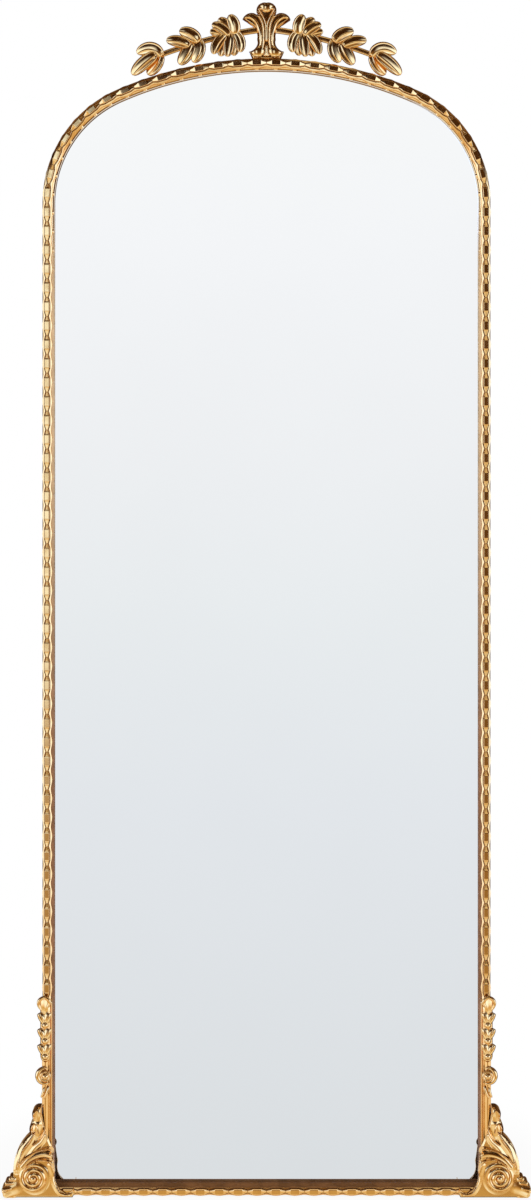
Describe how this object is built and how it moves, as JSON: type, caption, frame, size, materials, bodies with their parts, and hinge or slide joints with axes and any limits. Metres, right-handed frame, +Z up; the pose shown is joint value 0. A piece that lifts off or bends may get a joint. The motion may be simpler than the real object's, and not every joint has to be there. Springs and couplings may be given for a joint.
{
  "type": "arched wall mirror",
  "caption": "Tall arched wall mirror in a slim beaded gilt frame with a leafy palmette crest, husk garlands, scroll feet and folding hanger rings on the back.",
  "frame": {"origin": "on the wall plane, midway between the bearing points of the two raised hanger rings", "axes": "+X to the viewer's right, +Y from the viewer into the wall, +Z up"},
  "size_m": [0.8104, 0.0483, 1.8305],
  "materials": {
    "gilt": "cast metal with a polished gold finish",
    "silvered_glass": "silvered float glass, polished",
    "foam": "matt closed-cell foam",
    "fibreboard": "matt pressed fibreboard",
    "zinc_steel": "bright zinc plate",
    "black_rubber": "matt"
  },
  "bodies": {
    "mirror": {"arch_rail": "gilt", "left_side_rail": "gilt", "right_side_rail": "gilt", "bottom_rail": "gilt", "left_corner_scroll": "gilt", "right_corner_scroll": "gilt", "left_garland": "gilt", "right_garland": "gilt", "left_rosette": "gilt", "right_rosette": "gilt", "crest_palmette": "gilt", "left_sprig_stem": "gilt", "right_sprig_stem": "gilt", "left_inner_leaves": "gilt", "right_inner_leaves": "gilt", "left_middle_leaves": "gilt", "right_middle_leaves": "gilt", "left_outer_leaves": "gilt", "right_outer_leaves": "gilt", "mirror_glass": "silvered_glass", "rebate_tape": "foam", "backboard": "fibreboard", "turn_plates": "zinc_steel", "turn_plate_screws": "zinc_steel", "arch_joint_plates": "zinc_steel", "corner_plates": "zinc_steel", "joint_screws": "zinc_steel", "ornament_screws": "zinc_steel", "rail_dowels": "zinc_steel", "crest_studs": "zinc_steel", "left_hanger_strap": "zinc_steel", "right_hanger_strap": "zinc_steel", "hanger_screws": "zinc_steel", "wall_bumpers": "black_rubber", "bumper_screws": "zinc_steel"},
    "left_ring": {"left_hanger_ring": "zinc_steel"},
    "right_ring": {"right_hanger_ring": "zinc_steel"}
  },
  "joints": [
    {"name": "left_ring_hinge", "type": "hinge", "parent": "mirror", "child": "left_ring", "pos_m": [-0.295, -0.0032, -0.02098], "axis": [-1, 0, 0], "range_deg": [0, 178]},
    {"name": "right_ring_hinge", "type": "hinge", "parent": "mirror", "child": "right_ring", "pos_m": [0.295, -0.0032, -0.02098], "axis": [-1, 0, 0], "range_deg": [0, 178]}
  ]
}
